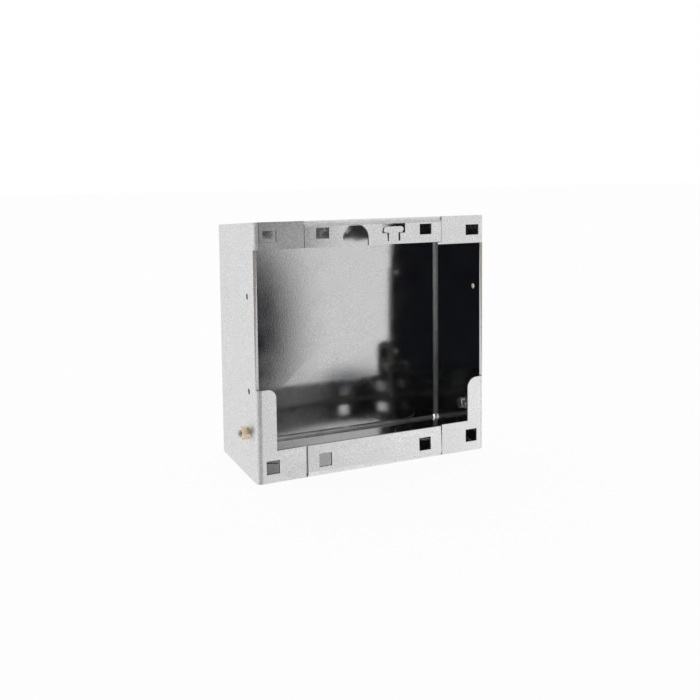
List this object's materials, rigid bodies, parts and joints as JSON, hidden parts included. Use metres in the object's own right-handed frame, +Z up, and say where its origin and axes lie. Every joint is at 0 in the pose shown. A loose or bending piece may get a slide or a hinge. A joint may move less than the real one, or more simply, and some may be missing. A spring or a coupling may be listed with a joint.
{
  "type": "flush back box",
  "caption": "Square flush back box folded from galvanised sheet, with slotted front flanges, pressed cable knockouts and brass-nutted earth terminals.",
  "frame": {"origin": "centre of the footprint over both earth terminals, at the foot of the bottom wall's front bend; the box itself is centred 2 mm to the right of it", "axes": "+X to the right seen from the open front, +Y from the open front to the back panel, +Z up"},
  "size_m": [0.1615, 0.068, 0.151],
  "materials": {
    "galvanised_sheet": "galvanised, spangled, partly bright",
    "brass": "turned, plain",
    "plated_steel": "zinc plated"
  },
  "bodies": {
    "root": {"back_box": "galvanised_sheet", "left_earth_screw": "plated_steel", "left_clamp_nut": "brass", "left_plate_washer": "plated_steel", "left_wall_nut": "brass", "left_spring_washer": "plated_steel", "left_thin_nut": "brass", "right_earth_screw": "plated_steel", "right_clamp_nut": "brass", "right_plate_washer": "plated_steel", "right_wall_nut": "brass", "right_spring_washer": "plated_steel", "right_thin_nut": "brass", "left_lock_nut": "brass"}
  },
  "joints": []
}
